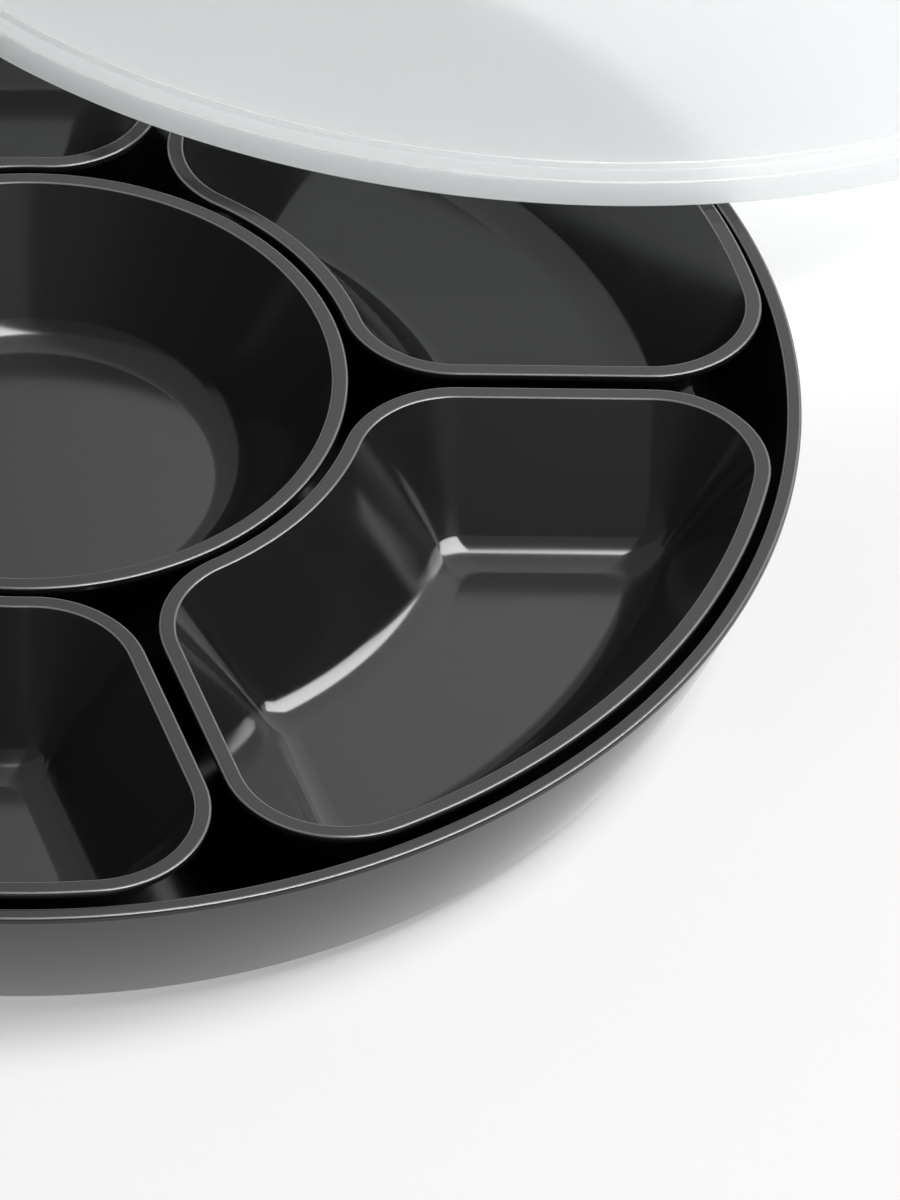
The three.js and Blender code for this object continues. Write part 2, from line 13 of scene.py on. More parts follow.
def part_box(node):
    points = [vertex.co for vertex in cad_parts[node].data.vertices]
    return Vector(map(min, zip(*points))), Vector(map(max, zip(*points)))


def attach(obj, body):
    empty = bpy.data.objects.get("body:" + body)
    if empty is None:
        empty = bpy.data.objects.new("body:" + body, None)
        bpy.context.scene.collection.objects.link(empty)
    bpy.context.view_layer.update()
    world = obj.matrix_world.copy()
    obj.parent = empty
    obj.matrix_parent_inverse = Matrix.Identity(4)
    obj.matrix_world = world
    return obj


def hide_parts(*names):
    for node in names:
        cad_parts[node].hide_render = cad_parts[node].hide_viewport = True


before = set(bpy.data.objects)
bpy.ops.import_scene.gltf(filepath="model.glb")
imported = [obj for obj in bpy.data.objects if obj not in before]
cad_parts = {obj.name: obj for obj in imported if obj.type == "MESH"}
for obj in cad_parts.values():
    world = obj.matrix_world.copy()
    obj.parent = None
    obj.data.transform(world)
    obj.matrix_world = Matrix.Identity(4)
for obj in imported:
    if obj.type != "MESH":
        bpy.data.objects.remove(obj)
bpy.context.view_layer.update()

bl_info = {
    "name": "Rotating Serving Set",
    "version": (1, 0, 0),
    "blender": (4, 5, 0),
    "location": "3D View > Sidebar > Serving Set",
    "description": "Builds a rotating tray with loose bowls and a frosted cover round its CAD frame",
    "category": "Add Mesh",
}

MM = 0.001
TABLE_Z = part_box("rubber_foot_1")[0][2]
SECTOR_BOWLS = 5
STEP_LEAN = 0.45 * MM  # how far the cover's step leans in


# Profiles, worked out as whole arrays.


def rounded(corners, closed=False, steps=7, hold=0.12 * MM):
    """A polyline whose corners are arcs.

    corners holds rows of across, height and radius. With u and v the directions from a corner to its
    neighbours and w half the angle between them, the arc's centre lies at radius / sin(w) along u + v,
    and it touches both sides at radius / tan(w). One more point a little past each end of an arc keeps
    the sides between arcs flat in the shading."""
    p, radius = corners[:, :2], corners[:, 2]
    before, after = np.roll(p, 1, axis=0), np.roll(p, -1, axis=0)
    u, v = before - p, after - p
    long_u, long_v = np.linalg.norm(u, axis=1), np.linalg.norm(v, axis=1)
    u, v = u / long_u[:, None], v / long_v[:, None]
    half = np.arccos(np.clip((u * v).sum(axis=1), -1, 1)) / 2
    touch = radius / np.tan(half)
    middle = (u + v) / np.linalg.norm(u + v, axis=1)[:, None]
    centre = p + middle * (radius / np.sin(half))[:, None]
    turn = (math.pi - 2 * half)[:, None, None]
    share = np.linspace(0, 1, steps)[None, :, None]
    first = (p + u * touch[:, None] - centre)[:, None]
    last = (p + v * touch[:, None] - centre)[:, None]
    arc = (np.sin((1 - share) * turn) * first + np.sin(share * turn) * last) / np.sin(turn)
    arc = arc + centre[:, None]
    free = (long_v - touch - np.roll(touch, -1)) / 4
    out = np.minimum(hold, free)
    back = np.minimum(hold, np.roll(free, 1))
    lead_in = (p + u * (touch + back)[:, None])[:, None]
    lead_out = (p + v * (touch + out)[:, None])[:, None]
    path = np.concatenate([lead_in, arc, lead_out], axis=1)
    if closed:
        return path.reshape(-1, 2)
    return np.vstack([p[:1], path[1:-1].reshape(-1, 2), p[-1:]])


def divided(path, longest):
    """The same polyline with evenly spaced points put in, so that no step is longer than longest."""
    step = np.linalg.norm(np.diff(path, axis=0), axis=1)
    parts = np.maximum(np.ceil(step / longest).astype(int), 1)
    start = np.repeat(np.arange(len(step)), parts)
    count = np.arange(parts.sum()) - np.repeat(np.cumsum(parts) - parts, parts)
    share = (count / np.repeat(parts, parts))[:, None]
    inner = path[start] + (path[start + 1] - path[start]) * share
    return np.vstack([inner, path[-1:]])


def spun(path, around):
    """Rings of a surface of revolution: (r cos t, r sin t, z) for each path point (r, z) and turn t."""
    turn = np.linspace(0, 2 * math.pi, around, endpoint=False)[None, :]
    r, z = path[:, 0, None], path[:, 1, None]
    return np.stack([r * np.cos(turn), r * np.sin(turn), z + 0 * turn], axis=-1)


def sector_outline(inset, sizes):
    """The outline of a sector bowl at each inset from its rim, as (insets, points, 2).

    Two arcs about the spin axis, of radius outer - inset and inner + inset, and two straight sides at
    gap / 2 + inset from the planes between bowls, joined by four corner arcs. The corner radius falls
    with the inset and runs out smoothly at its least value."""
    inset = np.asarray(inset)[:, None]
    room = sizes.corner - sizes.corner_least - inset
    soft = 2 * MM
    corner = sizes.corner_least + (room + np.sqrt(room * room + soft * soft)) / 2
    outer = sizes.ring_outer - inset
    inner = sizes.ring_inner + inset
    aside = sizes.side_gap / 2 + inset + corner
    half = math.pi / SECTOR_BOWLS

    def centre(reach):
        along = np.sqrt(reach * reach - aside * aside)
        x = along * math.cos(half) + aside * math.sin(half)
        y = along * math.sin(half) - aside * math.cos(half)
        return x, y

    def arc(x, y, radius, start, end, share):
        a = start + (end - start) * share[None, :]
        return np.stack([x + radius * np.cos(a), y + radius * np.sin(a)], axis=-1)

    ox, oy = centre(outer - corner)
    ix, iy = centre(inner + corner)
    out_turn, in_turn = np.arctan2(oy, ox), np.arctan2(iy, ix)
    normal = half + math.pi / 2 + 0 * out_turn
    long_arc = np.linspace(0, 1, 61)
    short_arc = np.linspace(0, 1, 41)
    bend = np.linspace(0, 1, 19)
    along = np.array([0.01, 0.05, 0.2, 0.4, 0.6, 0.8, 0.95, 0.99])[None, :, None]
    far = arc(0 * ox, 0 * oy, outer, -out_turn, out_turn, long_arc)
    far_left = arc(ox, oy, corner, out_turn, normal, bend[1:])
    near_left = arc(ix, iy, corner, normal, in_turn + math.pi, bend)
    near = arc(0 * ox, 0 * oy, inner, in_turn, -in_turn, short_arc[1:])
    near_right = arc(ix, -iy, corner, math.pi - in_turn, 2 * math.pi - normal, bend[1:])
    far_right = arc(ox, -oy, corner, -normal, -out_turn, bend[:-1])
    left = far_left[:, -1:] + (near_left[:, :1] - far_left[:, -1:]) * along
    right = near_right[:, -1:] + (far_right[:, :1] - near_right[:, -1:]) * along
    return np.concatenate([far, far_left, left, near_left, near, near_right, right, far_right], axis=1)


def skin(rings, closed=False):
    """Points and outward faces of the closed skin through a stack of rings.

    Neighbouring rings are joined by quads. A ring with no width is one point, a pole. Open ends are
    closed with one flat face, or the last ring is joined to the first. The sum of a . (b x c) over the
    triangles, which is six times the volume, says whether the faces have to be turned round."""
    rows, around = rings.shape[:2]
    points = rings.reshape(-1, 3)
    index = np.arange(rows * around).reshape(rows, around)
    pole = np.ptp(rings, axis=1).max(axis=1) < 1e-9
    index[pole] = index[pole][:, :1]
    low = index if closed else index[:-1]
    high = np.roll(index, -1, axis=0) if closed else index[1:]
    quads = np.stack([low, np.roll(low, -1, 1), np.roll(high, -1, 1), high], axis=-1).reshape(-1, 4)
    low_pole = quads[:, 0] == quads[:, 1]
    high_pole = quads[:, 2] == quads[:, 3]
    whole = quads[~low_pole & ~high_pole]
    triangles = np.vstack([quads[low_pole][:, [0, 2, 3]], quads[high_pole][:, [0, 1, 2]]])
    caps = []
    if not closed and not pole[0]:
        caps.append(index[0][::-1])
    if not closed and not pole[-1]:
        caps.append(index[-1])
    fans = [np.stack([0 * c[1:-1] + c[0], c[1:-1], c[2:]], axis=-1) for c in caps]
    all_triangles = np.vstack([whole[:, [0, 1, 2]], whole[:, [0, 2, 3]], triangles, *fans])
    a, b, c = (points[all_triangles[:, k]] for k in range(3))
    inside_out = (a * np.cross(b, c)).sum() < 0
    used = np.unique(np.concatenate([whole.ravel(), triangles.ravel()]))
    faces = []
    for block in (whole, triangles, *[c[None, :] for c in caps]):
        block = np.searchsorted(used, block)
        faces += (block[:, ::-1] if inside_out else block).tolist()
    return points[used], faces


def on_rim(points, top, radius):
    """1 on the rounded edges of a rim whose flat band is at height top, and 0 on the band and below.

    It is a trapezium over the depth below the band, as a share of the edge's radius. It ends at 0.4,
    because the inner edge runs out into the leaning wall there."""
    # On the dark plastic this mask places the painted highlight of the rims.
    depth = (top - points[:, 2]) / radius
    return np.interp(depth, [0, 0.04, 0.28, 0.4], [0, 1, 1, 0])


def on_corners(points, corners):
    """1 on the rounded corners of a revolved section, falling to 0 towards the ends of each arc.

    corners holds rows of across, height and radius. A point's distance from the nearest corner is
    taken as a share of that corner's radius, which is about where the arc ends."""
    end, fall = 0.95, 0.3
    section = np.stack([np.hypot(points[:, 0], points[:, 1]), points[:, 2]], axis=-1)
    away = np.linalg.norm(section[:, None] - corners[None, :, :2], axis=-1) / corners[:, 2]
    return np.clip((end - away.min(axis=1)) / fall, 0, 1)


def placed(points, matrix):
    """The points after a 4 x 4 matrix."""
    m = np.array(matrix)
    return points @ m[:3, :3].T + m[:3, 3]


def new_piece(name, points, faces, material, body, slot, *nodes, edge=None):
    """A smooth mesh object at the origin that rides on a body and stands for the CAD nodes. edge says
    for each point how far it lies on a rounded edge: on the dark plastic a painted highlight goes
    there, on the cover a smoother gloss."""
    mesh = bpy.data.meshes.new(name)
    mesh.from_pydata(points, [], faces)
    if edge is not None:
        mesh.attributes.new("edge", "FLOAT", "POINT").data.foreach_set("value", edge)
    mesh.validate()
    mesh.shade_smooth()
    mesh.materials.append(material)
    piece = bpy.data.objects.new(name, mesh)
    bpy.context.scene.collection.objects.link(piece)
    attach(piece, body)
    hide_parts(*nodes)
    return piece


# Materials.


class Nodes:
    """Adds nodes to a tree, by type, with their inputs and settings."""

    def __init__(self, tree):
        self.tree = tree
        tree.nodes.clear()

    def add(self, kind, inputs=None, **settings):
        node = self.tree.nodes.new(kind)
        for key, value in settings.items():
            setattr(node, key, value)
        for key, value in (inputs or {}).items():
            if isinstance(value, bpy.types.NodeSocket):
                self.tree.links.new(value, node.inputs[key])
            else:
                node.inputs[key].default_value = value
        return node

    def ramp(self, value, *stops):
        node = self.add("ShaderNodeValToRGB", {"Fac": value})
        while len(node.color_ramp.elements) < len(stops):
            node.color_ramp.elements.new(0.5)
        for element, (place, colour) in zip(node.color_ramp.elements, stops):
            element.position = place
            element.color = (*colour, 1)
        return node.outputs["Color"]

    def spread(self, value, low, high, to_low, to_high):
        inputs = {"Value": value, "From Min": low, "From Max": high}
        inputs.update({"To Min": to_low, "To Max": to_high})
        return self.add("ShaderNodeMapRange", inputs).outputs["Result"]

    def smooth(self, value, start, end):
        """0 up to start, 1 from end on, and a smooth step between them."""
        inputs = {"Value": value, "From Min": start, "From Max": end}
        node = self.add("ShaderNodeMapRange", inputs, interpolation_type="SMOOTHSTEP")
        return node.outputs["Result"]

    def maths(self, operation, first, second):
        node = self.add("ShaderNodeMath", {0: first, 1: second}, operation=operation)
        return node.outputs["Value"]

    def product(self, *values):
        whole = values[0]
        for value in values[1:]:
            whole = self.maths("MULTIPLY", whole, value)
        return whole

    def noise(self, scale, detail=2.0, where=None):
        if where is None:
            where = self.add("ShaderNodeTexCoord").outputs["Object"]
        inputs = {"Vector": where, "Scale": scale, "Detail": detail}
        return self.add("ShaderNodeTexNoise", inputs).outputs["Fac"]

    def bump(self, height, distance, strength=1.0):
        inputs = {"Height": height, "Distance": distance, "Strength": strength}
        return self.add("ShaderNodeBump", inputs).outputs["Normal"]


def shade(colour, factor):
    """The colour times factor."""
    return tuple(channel * factor for channel in colour)


def new_material(name):
    material = bpy.data.materials.new(name)
    material.use_nodes = True
    return material, Nodes(material.node_tree)


def moulded_plastic(name, colour, roughness, grain, grain_depth, edge_highlight_colour=None):
    """Moulded plastic: cloudy colour, uneven gloss, a long slow waviness and a fine grain. Where the
    mesh says that it lies on a rounded rim edge, a paler colour is mixed in as a painted highlight."""
    material, nodes = new_material(name)
    where = nodes.add("ShaderNodeTexCoord").outputs["Object"]
    cloud = nodes.noise(14.0, 3.0, where)
    tint = nodes.ramp(cloud, (0.3, shade(colour, 0.93)), (0.7, shade(colour, 1.07)))
    # Painted highlight: a pale colour on the rims' rounded edges stands in for their glint.
    if edge_highlight_colour is not None:
        edge = nodes.add("ShaderNodeAttribute", attribute_name="edge").outputs["Fac"]
        painted_highlight = (*edge_highlight_colour, 1)
        tint = nodes.add("ShaderNodeMix", {0: edge, 6: tint, 7: painted_highlight}, data_type="RGBA").outputs[2]
    haze = nodes.noise(160.0, 4.0, where)
    gloss = nodes.spread(haze, 0.3, 0.7, roughness * 0.9, roughness * 1.12)
    waves = nodes.bump(nodes.noise(22.0, 1.0, where), 0.00006)
    fine = nodes.noise(grain, 2.0, where)
    skin_bump = nodes.add(
        "ShaderNodeBump", {"Height": fine, "Distance": grain_depth, "Normal": waves}
    ).outputs["Normal"]
    shader = nodes.add(
        "ShaderNodeBsdfPrincipled",
        {"Base Color": tint, "Roughness": gloss, "Normal": skin_bump, "IOR": 1.5},
    )
    nodes.add("ShaderNodeOutputMaterial", {"Surface": shader.outputs["BSDF"]})
    return material


def frosted_plastic(name, colour, roughness, clear_share, glow_share, light_share):
    """Frosted translucent plastic: it scatters light back and on through, lets the rest through
    blurred, and passes part of the light that would otherwise be shadow. Its edges are rubbed
    smooth."""
    material, nodes = new_material(name)
    where = nodes.add("ShaderNodeTexCoord").outputs["Object"]
    cloud = nodes.noise(9.0, 2.0, where)
    tint = nodes.ramp(cloud, (0.3, shade(colour, 0.985)), (0.7, colour))
    haze = nodes.noise(900.0, 2.0, where)
    frost = nodes.spread(haze, 0.3, 0.7, roughness * 0.92, roughness * 1.08)
    edge = nodes.add("ShaderNodeAttribute", attribute_name="edge").outputs["Fac"]
    frost = nodes.spread(edge, 0, 1, frost, roughness * 0.3)
    grain = nodes.bump(haze, 0.000006)
    shader = nodes.add(
        "ShaderNodeBsdfPrincipled",
        {
            "Base Color": tint,
            "Roughness": frost,
            "Normal": grain,
            "IOR": 1.45,
            "Transmission Weight": clear_share,
        },
    )
    glow = nodes.add("ShaderNodeBsdfTranslucent", {"Color": tint, "Normal": grain})
    body = nodes.add(
        "ShaderNodeMixShader", {0: glow_share, 1: shader.outputs["BSDF"], 2: glow.outputs["BSDF"]}
    )
    through = nodes.add("ShaderNodeBsdfTransparent", {"Color": (1, 1, 1, 1)})
    is_shadow = nodes.add("ShaderNodeLightPath").outputs["Is Shadow Ray"]
    share = nodes.maths("MULTIPLY", is_shadow, light_share)
    mix = nodes.add(
        "ShaderNodeMixShader",
        {"Fac": share, 1: body.outputs["Shader"], 2: through.outputs["BSDF"]},
    )
    nodes.add("ShaderNodeOutputMaterial", {"Surface": mix.outputs["Shader"]})
    return material


def rubber(name, colour):
    """Dull rubber with a pebbled skin."""
    material, nodes = new_material(name)
    where = nodes.add("ShaderNodeTexCoord").outputs["Object"]
    pebbles = nodes.add("ShaderNodeTexVoronoi", {"Vector": where, "Scale": 1400.0})
    dust = nodes.noise(60.0, 4.0, where)
    tint = nodes.ramp(dust, (0.35, colour), (0.75, shade(colour, 2.2)))
    shader = nodes.add(
        "ShaderNodeBsdfPrincipled",
        {
            "Base Color": tint,
            "Roughness": nodes.spread(dust, 0.3, 0.7, 0.75, 0.95),
            "Normal": nodes.bump(pebbles.outputs["Distance"], 0.00005),
        },
    )
    nodes.add("ShaderNodeOutputMaterial", {"Surface": shader.outputs["BSDF"]})
    return material


def turned_steel(name, colour, roughness):
    """Bright steel with fine rings about the spin axis and faint handling marks."""
    material, nodes = new_material(name)
    where = nodes.add("ShaderNodeTexCoord").outputs["Object"]
    rings = nodes.add(
        "ShaderNodeTexWave",
        {"Vector": where, "Scale": 420.0, "Distortion": 0.4},
        wave_type="RINGS",
        rings_direction="Z",
    )
    marks = nodes.noise(300.0, 5.0, where)
    shader = nodes.add(
        "ShaderNodeBsdfPrincipled",
        {
            "Base Color": nodes.ramp(marks, (0.3, shade(colour, 0.9)), (0.7, colour)),
            "Metallic": 1.0,
            "Roughness": nodes.spread(marks, 0.3, 0.7, roughness * 0.8, roughness * 1.3),
            "Normal": nodes.bump(rings.outputs["Fac"], 0.000004),
        },
    )
    nodes.add("ShaderNodeOutputMaterial", {"Surface": shader.outputs["BSDF"]})
    return material


def finish_of(settings, name):
    """The named material of the set, made the first time it is asked for."""
    if name in bpy.data.materials:
        return bpy.data.materials[name]
    look = settings.finish
    if name == "dark_gloss_plastic":
        shape = look.dark_roughness, 2600.0, 0.0000015, look.edge_highlight_colour
        return moulded_plastic(name, look.dark_colour, *shape)
    if name == "dark_satin_plastic":
        return moulded_plastic(name, look.base_colour, look.base_roughness, 1500.0, 0.00002)
    if name == "natural_nylon_plastic":
        return moulded_plastic(name, look.cage_colour, 0.5, 1500.0, 0.00001)
    if name == "frosted_cover_plastic":
        shares = look.cover_clear, look.cover_glow, look.cover_light
        return frosted_plastic(name, look.cover_colour, look.cover_roughness, *shares)
    if name == "black_foot_rubber":
        return rubber(name, look.foot_colour)
    if name == "bright_turned_steel":
        return turned_steel(name, look.steel_colour, look.steel_roughness)
    raise ValueError(f"no finish is named {name}")


# Sizes and colours that a user would change.


def length(name, description, millimetres):
    return FloatProperty(
        name=name, description=description, default=millimetres * MM, unit="LENGTH", precision=5
    )


def tone(name, description, colour):
    return FloatVectorProperty(
        name=name, description=description, default=colour, subtype="COLOR", size=3, min=0, max=1
    )


def amount(name, description, value):
    return FloatProperty(name=name, description=description, default=value)


def part_of_one(name, description, value):
    return FloatProperty(
        name=name, description=description, default=value, subtype="FACTOR", min=0, max=1
    )


class SERVING_PG_tray(PropertyGroup):
    radius: length("Radius", "Outer edge of the rim", 170)
    top: length("Rim height", "Top of the rim above the base's underside", 42.3)
    bottom: length("Bottom edge", "Bottom edge above the base's underside", 4.4)
    bottom_radius: length("Bottom radius", "Radius of the wall at its bottom edge", 153.8)
    rim_width: length("Rim width", "Flat band on top of the rim", 3.3)
    rim_round: length("Rim rounding", "Radius of the band's two edges", 0.7)
    lip_height: length("Lip height", "Height of the lip outside the rim", 1.8)
    lip_step: length("Lip step", "How far the wall stands back under the lip", 0.9)
    wall: length("Wall", "Thickness of the wall", 2.5)
    bulge: length("Wall bulge", "How far the wall swells out between its ends", 1.1)
    floor_top: length("Floor top", "Height of the floor's upper face", 12.8)
    floor: length("Floor", "Thickness of the floor", 2.4)
    fillet: length("Floor fillet", "Radius between the floor and the wall", 4.5)


class SERVING_PG_bowls(PropertyGroup):
    turn: FloatProperty(
        name="Turn",
        description="Direction of the first sector bowl's middle",
        default=math.radians(-37.5),
        subtype="ANGLE",
    )
    seat: length("Seat", "Height of the bowls' feet", 13.1)
    height: length("Height", "From the foot to the rim's top", 31.7)
    depth: length("Depth", "From the rim's top to the inside floor", 28.9)
    foot: length("Foot", "Height of the ring that a bowl stands on", 0.8)
    foot_width: length("Foot width", "Width of that ring", 1.6)
    heel: length("Heel", "Rise of the chamfer between foot and wall", 1.5)
    rim_width: length("Rim width", "Flat band on top of the rim", 3.5)
    rim_round: length("Rim rounding", "Radius of the band's two edges", 0.65)
    lip_height: length("Lip height", "Height of the lip outside the rim", 1.8)
    lip_step: length("Lip step", "How far the wall stands back under the lip", 0.8)
    wall_run: length("Wall run", "How far the inside wall leans in down to the floor", 20.65)
    fillet: length("Floor fillet", "Radius between the inside wall and the floor", 9.5)
    skin: length("Skin", "Wall thickness, measured level", 2.4)
    round_radius: length("Round bowl", "Radius of the round bowl's rim", 70.5)
    ring_inner: length("Ring inside", "Radius of the sector bowls' inner rim edge", 72.6)
    ring_outer: length("Ring outside", "Radius of the sector bowls' outer rim edge", 165)
    side_gap: length("Side gap", "Between neighbouring sector bowls", 4)
    corner: length("Corner", "Corner radius of a sector bowl's rim", 25.5)
    corner_least: length("Least corner", "Corner radius of a sector bowl's floor", 5.5)


class SERVING_PG_cover(PropertyGroup):
    radius: length("Radius", "Lower edge of the skirt", 177.65)
    height: length("Height", "From the lower edge to the panel's face", 8.4)
    panel: length("Panel", "Thickness of the panel", 1.8)
    wall: length("Wall", "Thickness of the skirt and shoulder", 1.7)
    skirt: length("Skirt", "Height of the skirt", 6)
    draft: length("Draft", "How far the skirt leans in", 0.7)
    shoulder: length("Shoulder", "Width of the shoulder", 4.1)
    rise: length("Shoulder rise", "How much the shoulder climbs", 0.7)
    offset: length("Offset", "From the spin axis to the cover's middle, seen from above", 258.9)
    seat: length("Seat gap", "Gap between the cover's far edge and the table", 0.3)
    turn: FloatProperty(
        name="Turn",
        description="Direction in which the cover lies and slopes down",
        default=math.radians(62.75),
        subtype="ANGLE",
    )
    slope: FloatProperty(
        name="Slope",
        description="How far the cover slopes down",
        default=math.radians(8.360273),
        subtype="ANGLE",
    )


class SERVING_PG_finish(PropertyGroup):
    dark_colour: tone("Dark plastic", "Colour of the tray and bowls", (0.0105, 0.0106, 0.011))
    dark_roughness: part_of_one("Dark roughness", "Roughness of the tray and bowls", 0.13)
    # Painted highlight: the pale colour painted on the rims' rounded edges.
    edge_highlight_colour: tone("Painted edge highlight", "Colour of the edges of the rims", (0.17, 0.17, 0.172))
    base_colour: tone("Base plastic", "Colour of the turntable base", (0.018, 0.0182, 0.019))
    base_roughness: part_of_one("Base roughness", "Roughness of the turntable base", 0.42)
    cage_colour: tone("Cage nylon", "Colour of the ball cage", (0.62, 0.6, 0.54))
    cover_colour: tone("Cover", "Colour of the frosted cover", (0.905, 0.92, 0.922))
    cover_roughness: part_of_one("Cover roughness", "Roughness of the frosted cover", 0.38)
    cover_clear: part_of_one("Cover clearness", "Share that the cover lets through", 0.36)
    cover_glow: part_of_one("Cover glow", "Share that it scatters on through", 0.42)
    cover_light: part_of_one("Cover light", "Share of the light that gets through", 0.5)
    foot_colour: tone("Foot rubber", "Colour of the rubber feet", (0.012, 0.012, 0.013))
    steel_colour: tone("Steel", "Colour of the balls, washer and screw", (0.58, 0.6, 0.62))
    steel_roughness: part_of_one("Steel roughness", "Roughness of the steel", 0.2)


class SERVING_PG_studio(PropertyGroup):
    floor_colour: tone("Floor", "Colour of the floor", (0.93, 0.93, 0.93))
    floor_glow: part_of_one("Floor lift", "Share of plain white in what the floor shows", 0.36)
    floor_shine: part_of_one("Floor in gloss", "The same share where gloss shows the floor", 0.85)
    sky: amount("Sky", "Strength of the even light on what is dull", 0.12)
    key: FloatProperty(
        name="Key lamp", description="Power of the lamp above", default=56, min=0, unit="POWER"
    )
    key_size: length("Key size", "Side of the lamp above", 1000)
    key_place: FloatVectorProperty(
        name="Key place", description="Middle of the lamp", default=(1.15, -0.55, 2.2), unit="LENGTH"
    )
    fill: FloatProperty(
        name="Fill lamp", description="Power of the lamp in front", default=9, min=0, unit="POWER"
    )
    fill_size: length("Fill size", "Side of the lamp in front", 1200)
    fill_place: FloatVectorProperty(
        name="Fill place", description="Middle of the lamp", default=(-1.2, -1.8, 1.0), unit="LENGTH"
    )
    ceiling: amount("Ceiling", "Brightness overhead on the right, as gloss shows it", 1.4)
    ceiling_left: amount("Ceiling left", "Brightness overhead on the left, as gloss shows it", 0.45)
    wall: amount("Wall", "Brightness of the wall behind on the right, as gloss shows it", 1.5)
    wall_left: amount("Wall left", "Brightness of that wall on the left", 0.4)
    front: amount("Front", "Brightness of the studio in front, as gloss shows it", 0.03)
    panel: amount("Panel", "Brightness of the panel overhead, as gloss shows it", 16)
    panel_fall: part_of_one("Panel fall", "Share of it that is lost towards its right end", 0.4)
    panel_middle: FloatVectorProperty(
        name="Panel middle",
        description="Its middle, as x / z and y / z of the direction",
        default=(1.25, -0.16),
        size=2,
    )
    panel_long: amount("Panel length", "Its length, where z is 1", 2.4)
    panel_short: amount("Panel width", "Its width, where z is 1", 0.95)
    panel_turn: FloatProperty(
        name="Panel turn",
        description="How far it is turned from left to right",
        default=math.radians(28),
        subtype="ANGLE",
    )
    panel_edge: amount("Panel edge", "Half width of its soft edge, as a share of its size", 0.05)


class SERVING_PG_set(PropertyGroup):
    tray: PointerProperty(type=SERVING_PG_tray)
    bowls: PointerProperty(type=SERVING_PG_bowls)
    cover: PointerProperty(type=SERVING_PG_cover)
    finish: PointerProperty(type=SERVING_PG_finish)
    studio: PointerProperty(type=SERVING_PG_studio)
    around: IntProperty(
        name="Facets", description="Facets round the revolved pieces", default=300, min=24
    )


# The set's own shapes.


def tray_rings(tray, around):
    """The tray: one closed profile, revolved. Its wall runs straight from its bottom edge to the lip,
    and is then pushed out by bulge * 4 s (1 - s), where s is the share of the wall's height. The hub
    hole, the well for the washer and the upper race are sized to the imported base."""
    lip_under = tray.top - tray.lip_height
    rise = lip_under - tray.bottom
    run = tray.radius - tray.lip_step - tray.bottom_radius

    def outside(z):
        return tray.bottom_radius + run * (z - tray.bottom) / rise

    def inside(z):
        return outside(z) - tray.wall

    under = tray.floor_top - tray.floor
    hub_hole, well, well_out = 9.3 * MM, 15 * MM, 17.4 * MM
    well_under, well_top = 7.4 * MM, 9.4 * MM
    race_in, race_out, race = 80 * MM, 92 * MM, 8.8 * MM
    groove, groove_top, groove_half, groove_round = 86 * MM, 11.245 * MM, 2.35 * MM, 3.1 * MM
    corners = np.array(
        [
            [hub_hole, well_under, 0.3 * MM],
            [well_out, well_under, 0.5 * MM],
            [well_out, under, 0.8 * MM],
            [race_in, under, 0.4 * MM],
            [race_in, race, 0.3 * MM],
            [groove - groove_half, race, 0.1 * MM],
            [groove, groove_top, groove_round],
            [groove + groove_half, race, 0.1 * MM],
            [race_out, race, 0.3 * MM],
            [race_out, under, 0.4 * MM],
            [inside(under) - tray.floor, under, 1 * MM],
            [inside(under - tray.floor), under - tray.floor, 1 * MM],
            [inside(tray.bottom), tray.bottom, 0.4 * MM],
            [tray.bottom_radius, tray.bottom, 0.8 * MM],
            [outside(lip_under), lip_under, 0.2 * MM],
            [tray.radius, lip_under, 0.4 * MM],
            [tray.radius, tray.top, tray.rim_round],
            [tray.radius - tray.rim_width, tray.top, tray.rim_round],
            [inside(lip_under), lip_under, 0.6 * MM],
            [inside(tray.floor_top), tray.floor_top, tray.fillet],
            [well, tray.floor_top, 0.5 * MM],
            [well, well_top, 0.4 * MM],
            [hub_hole, well_top, 0.3 * MM],
        ]
    )
    path = rounded(corners, closed=True)
    path = divided(np.vstack([path, path[:1]]), 4 * MM)[:-1]
    share = np.clip((path[:, 1] - tray.bottom) / rise, 0, 1)
    wall_from, wall_blend = 135 * MM, 12 * MM
    near_wall = np.clip((path[:, 0] - wall_from) / wall_blend, 0, 1)
    near_wall = near_wall * near_wall * (3 - 2 * near_wall)
    path[:, 0] += tray.bulge * 4 * share * (1 - share) * near_wall
    return spun(path, around)


def bowl_section(bowls):
    """The section of every bowl as rows of inset from the rim's outer edge and height above the foot,
    from the underside, round the rim, to the floor."""
    floor = bowls.height - bowls.depth
    lean = bowls.wall_run / bowls.depth
    heel_top = bowls.foot + bowls.heel
    heel = bowls.rim_width + (bowls.height - heel_top) * lean - bowls.skin
    foot_out = heel + bowls.heel
    foot_in = foot_out + bowls.foot_width
    lip_under = bowls.height - bowls.lip_height
    meet = bowls.rim_width + bowls.wall_run
    level = meet + bowls.fillet * math.tan(math.atan(1 / lean) / 2)
    rim = bowls.rim_round
    underside, floor_edge = 2.4 * MM, 1 * MM
    corners = np.array(
        [
            [foot_in + underside, bowls.foot, 0],
            [foot_in + bowls.foot, bowls.foot, 0.25 * MM],
            [foot_in, 0, 0.25 * MM],
            [foot_out, 0, 0.35 * MM],
            [heel, heel_top, 1 * MM],
            [bowls.lip_step, lip_under - rim, 0.2 * MM],
            [0, lip_under + rim / 2, 0.3 * MM],
            [0, bowls.height, rim],
            [bowls.rim_width, bowls.height, rim],
            [meet, floor, bowls.fillet],
            [level + floor_edge, floor, 0],
        ]
    )
    return divided(rounded(corners), 3 * MM)


def round_bowl_rings(bowls, around):
    """The round bowl: radius = rim radius - inset, revolved."""
    section = bowl_section(bowls)
    path = np.stack([bowls.round_radius - section[:, 0], section[:, 1] + bowls.seat], axis=-1)
    ends = np.array([[0, path[0, 1]], [0, path[-1, 1]]])
    return spun(np.vstack([ends[:1], path, ends[1:]]), around)


